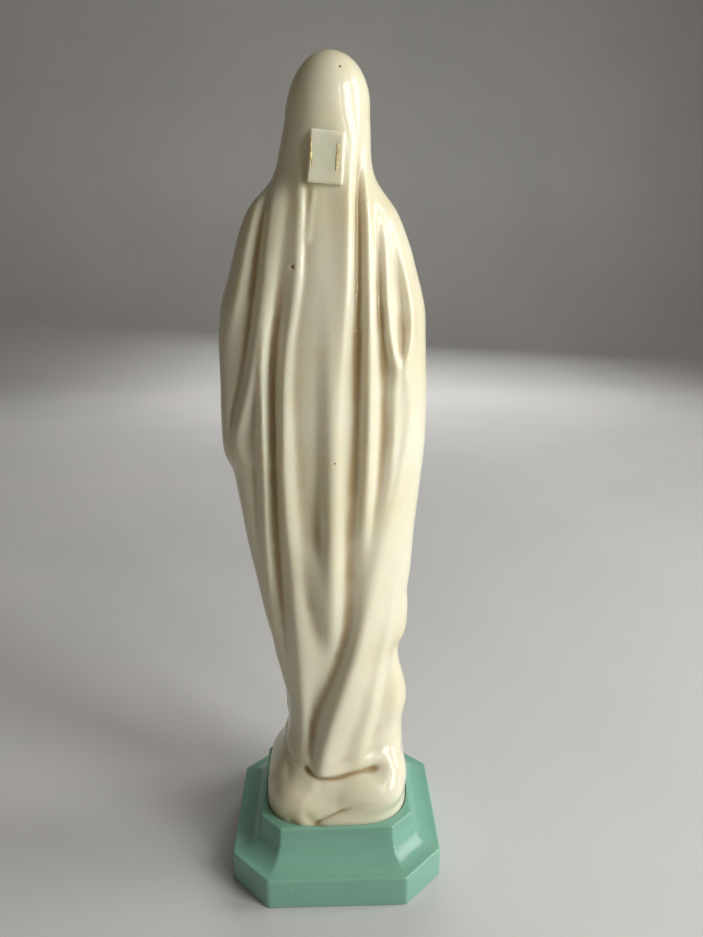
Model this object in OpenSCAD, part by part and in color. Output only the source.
// A hollow moulded madonna figure in two cemented half shells, standing on an eight-sided green plinth.
// The figure faces -Y, its own left hand is towards +X, and the plinth stands on z = 0.

/* [Figure] */
// Height of the figure, from the underside of its rock to the crown of the veil
figure_h = 224.2; // [180:0.1:280]
// Width of the figure across the elbows
figure_w = 59.9; // [50:0.1:74]
// Depth of the figure at its rock, from front to back
figure_d = 45.4; // [38:0.1:56]
// Wall of the half shells
shell_wall = 2.2; // [1.5:0.1:3]
// How strongly the drapery folds stand out
fold_depth = 1; // [0.5:0.05:1.3]

/* [Plinth] */
// Border left on the plinth's top face, outside the figure's rock
top_border = 0.5; // [0.4:0.1:3]
// Radius of the hollow moulding round the plinth
cove_r = 8.3; // [5:0.1:12]
// Flat land between the hollow moulding and the edge of the band
cove_land = 0.8; // [0.4:0.1:2]
// Height of the straight band at the foot of the plinth
band_h = 10.1; // [6:0.1:16]
// Height of the upright lip above the hollow moulding
lip_h = 2.6; // [1.5:0.1:5]
// Length cut off each corner of the plinth's bottom outline, along one side
corner_cut = 11.8; // [9:0.1:14]
// Wall of the plinth's sides
plinth_wall = 2.6; // [1.8:0.1:3.5]
// Thickness of the plinth's top, under the seat of the figure
plinth_top = 2.6; // [2:0.1:4]
// Depth of the seat that locates the figure's rock
seat_depth = 1; // [0.6:0.1:1.6]
// Gap all round the rock in its seat
seat_gap = 0.2; // [0.1:0.05:0.5]

/* [Halo block] */
// Width of the block behind the head
halo_w = 9.4; // [6:0.1:10]
// Height of the block behind the head
halo_h = 12.9; // [10:0.1:17]
// Thickness of the block at its middle
halo_t = 3.2; // [2.2:0.1:4]
// Width of the slot for the halo's flat stem
slot_w = 5; // [3:0.1:6]
// Thickness of the slot for the halo's flat stem
slot_t = 0.9; // [0.5:0.1:1.2]
// Depth of the slot from the top of the block
slot_depth = 10.2; // [6:0.1:12]
// Height of the block's centre above the underside of the rock
halo_z = 196.4; // [190:0.1:202]
// Sideways place of the block's centre
halo_x = 0.5; // [-2:0.1:2]
// Tilt of the block in the plane of the back
halo_tilt = -5; // [-8:0.5:8]

/* [Fastening] */
// Diameter of the fixing screw
screw_d = 3.4; // [2.4:0.1:4.4]
// Length of the screw under its head
screw_l = 15; // [11:0.5:19]
// Diameter of the screw's head
head_d = 7; // [5.5:0.1:9]
// Height of the screw's head
head_h = 2.4; // [1.6:0.1:3.4]
// Outer diameter of the washer
washer_d = 11; // [9:0.1:14]
// Thickness of the washer
washer_t = 1; // [0.6:0.1:1.6]
// Radial clearance of the screw in the washer and the plinth
clear_hole = 0.4; // [0.2:0.05:0.8]
// Radial clearance of the screw in its pilot hole
pilot_gap = 0.05; // [0.02:0.01:0.1]
// Thickness of the plate that closes the figure's foot
plug_t = 3.2; // [2.4:0.1:4.5]
// Gap all round the plate inside the shells
plug_gap = 0.2; // [0.1:0.05:0.4]
// Wall of the boss round the screw's pilot hole
boss_wall = 3; // [2:0.1:4]

/* [Hidden] */
ivory = [0.90, 0.86, 0.72];
pale_ivory = [0.88, 0.87, 0.80];
green = [0.45, 0.68, 0.56];
steel = [0.62, 0.62, 0.62];

// The figure's outline is drawn for a figure of this height, width and depth, and is scaled from there.
drawn_h = 224.2;
drawn_w = 59.9;
drawn_d = 45.4;
kx = figure_w / drawn_w;
ky = figure_d / drawn_d;
kz = figure_h / drawn_h;

// Each row: height above the rock's underside, the reach to the figure's left, right, back and front,
// and the fullness of the corners.
outline = [
    [0, 23.0, 23.2, 22.7, 22.7, 3.2], // rock
    [5, 22.9, 23.1, 22.3, 22.6, 3.0],
    [10, 22.0, 22.7, 21.0, 21.8, 2.8],
    [16, 19.4, 21.7, 18.6, 20.2, 2.5], // hem of the mantle
    [24, 15.8, 22.0, 15.8, 18.4, 2.3],
    [32, 15.4, 22.8, 15.2, 17.6, 2.2], // ankles
    [40, 16.8, 22.0, 15.3, 17.2, 2.1],
    [49, 18.6, 20.4, 15.7, 17.0, 2.1],
    [60, 20.4, 21.9, 16.2, 17.2, 2.1], // knees
    [80, 24.3, 23.3, 17.2, 18.0, 2.1],
    [100, 27.8, 25.6, 18.2, 18.8, 2.1],
    [112, 30.0, 26.8, 18.8, 19.6, 2.1], // hips
    [120, 32.2, 27.1, 19.0, 20.2, 2.1],
    [132, 32.5, 27.4, 19.2, 21.2, 2.1], // elbows
    [150, 32.4, 27.1, 18.8, 21.6, 2.1],
    [160, 31.2, 26.3, 18.0, 20.4, 2.1],
    [170, 28.3, 23.6, 16.8, 18.0, 2.1],
    [180, 25.1, 20.3, 15.2, 15.0, 2.1], // shoulders
    [186, 21.8, 17.5, 14.0, 12.8, 2.1],
    [190, 17.8, 14.7, 13.2, 11.4, 2.0],
    [194, 15.3, 12.6, 12.8, 10.6, 2.0], // nape
    [200, 13.6, 11.7, 12.6, 10.8, 2.0],
    [210, 11.6, 11.4, 12.3, 11.2, 2.0], // head
    [216, 10.1, 10.8, 10.9, 10.4, 2.0],
    [220, 8.0, 9.2, 8.6, 8.6, 2.0],
    [222.8, 5.0, 6.0, 5.2, 5.4, 2.0],
    [224.2, 1.0, 1.4, 1.0, 1.0, 2.0]]; // crown

// Folds of the back: half width, and a line of points [x, height above the rock, how far it stands out].
back_folds = [
    [3.4, [[12.4, 160, 0.3], [11.6, 140, 1.5], [11.6, 110, 1.4], [10, 84, 0.2]]],
    [2.7, [[12.6, 194, 0.3], [14.6, 182, 1.3], [18.4, 158, 1.5], [22.4, 137, 1.3], [28.5, 121, 0.8]]],
    [2.2, [[19.4, 140, 0.3], [19, 112, 1.1], [20.4, 78, 0.2]]],
    [2.7, [[-0.6, 154, 0.2], [-2.3, 118, 1.2], [-1.9, 84, 1.2], [-0.5, 56, 0.2]]],
    [2.2, [[-7.6, 206, 0.5], [-9, 190, 0.9], [-11.2, 156, 1.1], [-11.4, 112, 1.1], [-9.8, 88, 0.3]]],
    [4.4, [[-23.4, 132, 0.8], [-16.7, 98, 1.9], [-9.6, 70, 2.0], [-3, 46, 2.1], [3.4, 24, 1.9],
           [4.4, 14, 1.2]]],
    [3.4, [[-19.4, 88, 0.2], [-14.4, 56, 1.2], [-9, 32, 1.2], [-7.6, 18, 0.3]]],
    [4.2, [[13.6, 92, 0.2], [10.6, 62, 1.1], [9.2, 30, 0.6]]],
    [3.2, [[-18.4, 180, 0.2], [-20.4, 160, 1.4], [-19.2, 142, 0.9]]],
    [2.2, [[13.4, 176, -0.2], [15.9, 144, -1.4], [16.3, 110, -1.4], [16.4, 76, -1.3], [13, 38, -0.5]]],
    [2.2, [[14.8, 192, -0.4], [18.4, 170, -1.1], [22.4, 150, -1.1], [27, 131, -0.6]]],
    [2.4, [[-6.4, 182, -0.3], [-6.6, 130, -1.2], [-4.9, 82, -1.3], [0, 50, -1.4], [7, 24, -0.8]]],
    [3.2, [[4.3, 138, -0.2], [4.4, 108, -1.2], [4.4, 82, -0.2]]]];

// Folds of the front, in the same form: sleeves, joined hands, sash, pleats, the veil's rim and face.
front_folds = [
    [5.4, [[27, 118, 0.5], [18, 130, 2.6], [9, 142, 3.8], [4, 152, 3.2]]],
    [5.4, [[-27, 118, 0.5], [-18, 130, 2.6], [-9, 142, 3.8], [-4, 152, 3.2]]],
    [3.6, [[0, 144, 2.0], [0, 154, 5.2], [0, 164, 6.2], [0, 176, 5.0]]],
    [2.2, [[0, 126, 0.3], [7.6, 112, 1.2], [7.2, 76, 1.2]]],
    [2.2, [[0, 126, 0.3], [2.2, 108, 1.0], [1.8, 82, 1.0]]],
    [3.0, [[15, 124, 0.2], [13, 80, 1.4], [10, 22, 1.4]]],
    [3.0, [[-15, 124, 0.2], [-13, 80, 1.4], [-10, 22, 1.4]]],
    [2.8, [[-4, 96, 0.2], [-3.4, 60, 1.4], [-3, 22, 1.5]]],
    [2.8, [[5, 74, 0.2], [4.2, 50, 1.4], [3.6, 22, 1.5]]],
    [2.0, [[-9.6, 186, 0.6], [-9.4, 200, 1.5], [-7.4, 211, 1.6], [0, 216.4, 1.5],
           [7.4, 211, 1.6], [9.4, 200, 1.5], [9.6, 186, 0.6]]],
    [1.3, [[0, 206, 0.2], [0, 200, 1.3], [0, 198.4, 1.0]]],
    [2.6, [[0, 193, 0.6], [0, 191, 0.6]]]];

rings = 72;         // levels up the figure
outer_steps = 36;   // divisions round the outside of one half
inner_steps = 12;   // divisions round the inside of one half
step_ratio = outer_steps / inner_steps;
inner_ease = 1.8;   // room kept between the deepest fold and the inside
thinnest = 0.4;     // least reach of the inside near the crown

// Reaches of the outline at a height h, scaled to the figure.
function column(i) = [for (row = outline) [row[0] * kz, row[i]]];
left_reach = column(1);
right_reach = column(2);
back_reach = column(3);
front_reach = column(4);
fullness = column(5);

function side_reach(h, c) = kx * lookup(h, c >= 0 ? left_reach : right_reach);
function depth_reach(h, back) = ky * lookup(h, back ? back_reach : front_reach);

// A power that keeps the sign, for the rounded-corner outline.
function signed_pow(v, p) = sign(v) * pow(abs(v), p);

// A soft round bump: 1 on the line, 0 beyond twice the half width.
function bump(d, w) = d > 2 * w ? 0 : pow(cos(45 * d / w), 2);

// How far one stretch of a fold, from a to b, lifts the point p in the [x, height] plane.
function stretch_lift(p, a, b, w) =
    let (
        from = [a[0], a[1]],
        along = [b[0], b[1]] - from,
        t = max(0, min(1, (p - from) * along / (along * along))))
    (a[2] + t * (b[2] - a[2])) * bump(norm(p - from - t * along), w);

function fold_lift(p, fold) =
    let (
        line = fold[1],
        lifts = [for (i = [0:len(line) - 2]) stretch_lift(p, line[i], line[i + 1], fold[0])])
    max(0, max(lifts)) + min(0, min(lifts));

function relief(x, h, folds) =
    let (lifts = [for (f = folds) fold_lift([x / kx, h / kz], f)])
    fold_depth * lifts * [for (f = folds) 1];

// The seat behind the head, cut flat for the halo block.
halo_seat_cut = 1.4;
halo_seat_y = depth_reach(halo_z, true) - halo_seat_cut;
halo_seat_w = halo_w * cos(halo_tilt) + halo_h * sin(abs(halo_tilt)) + 4 * kx;
halo_seat_h = halo_h * cos(halo_tilt) + halo_w * sin(abs(halo_tilt)) + 2.2 * level(1);
function on_halo_seat(x, h) =
    abs(x - halo_x) < halo_seat_w / 2 && abs(h - halo_z) < halo_seat_h / 2;

// One point of the outside, at angle a from the figure's left round to its right.
function outer_point(a, h, back) =
    let (
        n = 2 / lookup(h, fullness),
        x = side_reach(h, cos(a)) * signed_pow(cos(a), n),
        y = depth_reach(h, back) * pow(sin(a), n),
        out = relief(x, h, back ? back_folds : front_folds) * sin(a),
        reach = norm([x, y]),
        grown = reach > 0 ? (reach + out) / reach : 1,
        gx = x * grown,
        gy = y * grown)
    [gx, back && on_halo_seat(gx, h) ? min(gy, halo_seat_y) : gy];

// The inside follows the plain outline, a wall, a fold's depth and a gap further in.
function inner_point(a, h, back, gap = 0) =
    let (
        n = 2 / lookup(h, fullness),
        inset = shell_wall + inner_ease * fold_depth + gap,
        side = max(thinnest, side_reach(h, cos(a)) - inset),
        depth = max(thinnest, depth_reach(h, back) - inset))
    [side * signed_pow(cos(a), n), depth * pow(sin(a), n)];

function level(i) = figure_h * i / rings;
crown_wall = 2 * shell_wall;
inner_top = figure_h - crown_wall;
function inner_level(i) = inner_top * i / rings;

// One half of the figure as a closed shell. side is 1 for the back and -1 for the front.
module half_shell(side) {
    back = side > 0;
    outer_ring = [for (i = [0:rings]) for (j = [0:outer_steps])
        let (h = level(i), p = outer_point(180 * j / outer_steps, h, back))
        [p[0], j == 0 || j == outer_steps ? 0 : side * p[1], h]];
    inner_ring = [for (i = [0:rings]) for (j = [0:inner_steps])
        let (h = inner_level(i), p = inner_point(180 * j / inner_steps, h, back))
        [p[0], j == 0 || j == inner_steps ? 0 : side * p[1], h]];
    no = outer_steps + 1;
    ni = inner_steps + 1;
    base = (rings + 1) * no;
    function o(i, j) = i * no + j;
    function q(i, j) = base + i * ni + j;
    outside = [for (i = [0:rings - 1]) for (j = [0:outer_steps - 1])
        each [[o(i, j), o(i + 1, j), o(i + 1, j + 1)], [o(i, j), o(i + 1, j + 1), o(i, j + 1)]]];
    inside = [for (i = [0:rings - 1]) for (j = [0:inner_steps - 1])
        each [[q(i, j), q(i + 1, j + 1), q(i + 1, j)], [q(i, j), q(i, j + 1), q(i + 1, j + 1)]]];
    left_seam = [for (i = [0:rings - 1])
        each [[o(i, 0), q(i, 0), q(i + 1, 0)], [o(i, 0), q(i + 1, 0), o(i + 1, 0)]]];
    right_seam = [for (i = [0:rings - 1])
        each [[o(i, outer_steps), q(i + 1, inner_steps), q(i, inner_steps)],
              [o(i, outer_steps), o(i + 1, outer_steps), q(i + 1, inner_steps)]]];
    seam_top = [concat([o(rings, 0), q(rings, 0)], [q(rings, inner_steps), o(rings, outer_steps)])];
    foot = [for (k = [0:inner_steps - 1]) each concat(
        [for (m = [0:step_ratio - 1]) [q(0, k), o(0, step_ratio * k + m), o(0, step_ratio * k + m + 1)]],
        [[q(0, k), o(0, step_ratio * (k + 1)), q(0, k + 1)]])];
    crown = [[for (j = [outer_steps:-1:0]) o(rings, j)]];
    ceiling = [[for (j = [0:inner_steps]) q(rings, j)]];
    all_faces = concat(outside, inside, left_seam, right_seam, seam_top, foot, crown, ceiling);
    faces = back ? all_faces : [for (f = all_faces) [for (k = [len(f) - 1:-1:0]) f[k]]];
    polyhedron(points = concat(outer_ring, inner_ring), faces = faces, convexity = 12);
}

// Levels of the plinth and of what is fastened through it.
plinth_h = band_h + cove_r + lip_h;
foot_z = plinth_h - seat_depth;
top_under = foot_z - plinth_top;
cove_in = cove_r + cove_land;
rock_w = 2 * max(side_reach(0, 1), side_reach(0, -1));
rock_d = 2 * max(depth_reach(0, true), depth_reach(0, false));
plinth_w = max(rock_w, rock_d) + 2 * (seat_gap + top_border + cove_in);
diagonal_w = sqrt(2) * (plinth_w - corner_cut);   // across two opposite cut corners

// The rock's outline on the seat, grown by an amount all round.
module rock_outline(grow) {
    steps = 24;
    polygon([for (s = [1, -1]) for (j = [0:2 * steps - 1])
        let (a = 90 * j / steps + (s > 0 ? 0 : 180),
             n = 2 / fullness[0][1],
             x = side_reach(0, cos(a)) + grow,
             y = depth_reach(0, sin(a) >= 0) + grow)
        [x * signed_pow(cos(a), n), y * signed_pow(sin(a), n)]]);
}

// The inside of the shells at the top of the foot plate, less a gap.
module foot_outline() {
    half = [for (j = [0:inner_steps]) 180 * j / inner_steps];
    back = [for (a = half) inner_point(a, plug_t, true, plug_gap)];
    front = [for (a = half) let (p = inner_point(a, plug_t, false, plug_gap)) [p[0], -p[1]]];
    polygon(concat(back, [for (j = [inner_steps - 1:-1:1]) front[j]]));
}

// Each level of the moulding is [height, how far it stands in from the band].
// A point of the cove lies at the angle phi and at a depth t under the surface.
cove_steps = 14;
function cove_point(phi, t) =
    [band_h + cove_r - (cove_r + t) * cos(phi), cove_land + (cove_r + t) * sin(phi)];
outer_levels = concat(
    [[0, 0], [band_h, 0]],
    [for (k = [0:cove_steps]) cove_point(90 * k / cove_steps, 0)],
    [[plinth_h, cove_in]]);
phi_start = asin((plinth_wall - cove_land) / (cove_r + plinth_wall));
phi_end = acos(max(0, (band_h + cove_r - top_under) / (cove_r + plinth_wall)));
hollow_levels = concat(
    [[-1, plinth_wall]],
    [for (k = [0:cove_steps])
        cove_point(phi_start + (phi_end - phi_start) * k / cove_steps, plinth_wall)],
    top_under > band_h + cove_r ? [[top_under, cove_in + plinth_wall]] : []);

// The eight corners of the plinth's outline, all sides moved in by the same distance.
function eight_corners(inset) =
    let (a = plinth_w / 2 - inset, b = sqrt(2) * (diagonal_w / 2 - inset) - a)
    [[a, b], [b, a], [-b, a], [-a, b], [-a, -b], [-b, -a], [b, -a], [a, -b]];

// A closed solid with eight mitred sides that follow a list of levels.
module eight_sided(levels) {
    last = len(levels) - 1;
    points = [for (l = levels) for (c = eight_corners(l[1])) [c[0], c[1], l[0]]];
    sides = [for (i = [0:last - 1]) for (j = [0:7])
        [8 * i + j, 8 * i + 8 + j, 8 * i + 8 + (j + 1) % 8, 8 * i + (j + 1) % 8]];
    ends = [[for (j = [0:7]) j], [for (j = [7:-1:0]) 8 * last + j]];
    polyhedron(points, concat(sides, ends), convexity = 8);
}

module plinth() {
    color(green) difference() {
        eight_sided(outer_levels);
        eight_sided(hollow_levels);
        translate([0, 0, foot_z]) linear_extrude(seat_depth + 1) rock_outline(seat_gap);
        translate([0, 0, top_under - 1])
            cylinder(r = screw_d / 2 + clear_hole, h = plinth_top + 2, $fn = 48);
    }
}

module figure_back_shell() {
    color(ivory) translate([0, 0, foot_z]) half_shell(1);
}

module figure_front_shell() {
    color(ivory) translate([0, 0, foot_z]) half_shell(-1);
}

// The block is laid flat on its seat, with its slot open at the top.
module halo_block() {
    slot_back = halo_t / 2 - slot_t / 2;
    color(pale_ivory) translate([halo_x, halo_seat_y, foot_z + halo_z]) rotate([0, halo_tilt, 0])
        difference() {
            translate([-halo_w / 2, 0, -halo_h / 2]) cube([halo_w, halo_t, halo_h]);
            translate([-slot_w / 2, slot_back, halo_h / 2 - slot_depth])
                cube([slot_w, slot_t, slot_depth + 1]);
        }
}

// The plate closes the foot, and the screw runs in a blind pilot hole up its boss.
tip_room = 1;
boss_end = 1.5;
pilot_h = screw_l - washer_t - plinth_top + tip_room;
module foot_plate() {
    pilot_r = screw_d / 2 + pilot_gap;
    color(ivory) translate([0, 0, foot_z]) difference() {
        union() {
            linear_extrude(plug_t) foot_outline();
            cylinder(r = pilot_r + boss_wall, h = pilot_h + boss_end, $fn = 64);
        }
        translate([0, 0, -1]) cylinder(r = pilot_r, h = pilot_h + 1, $fn = 48);
    }
}

module screw_washer() {
    color(steel) translate([0, 0, top_under - washer_t]) difference() {
        cylinder(d = washer_d, h = washer_t, $fn = 64);
        translate([0, 0, -1]) cylinder(r = screw_d / 2 + clear_hole, h = washer_t + 2, $fn = 48);
    }
}

// A cheese-head screw with a plain slot, driven up from below.
module fixing_screw() {
    driver_w = 1;
    driver_depth = head_h / 2;
    head_top = top_under - washer_t;
    color(steel) difference() {
        union() {
            translate([0, 0, head_top - head_h]) cylinder(d = head_d, h = head_h, $fn = 64);
            translate([0, 0, head_top]) cylinder(d = screw_d, h = screw_l, $fn = 48);
        }
        translate([-head_d, -driver_w / 2, head_top - head_h - 1])
            cube([2 * head_d, driver_w, driver_depth + 1]);
    }
}

figure_back_shell();
figure_front_shell();
halo_block();
foot_plate();
plinth();
screw_washer();
fixing_screw();
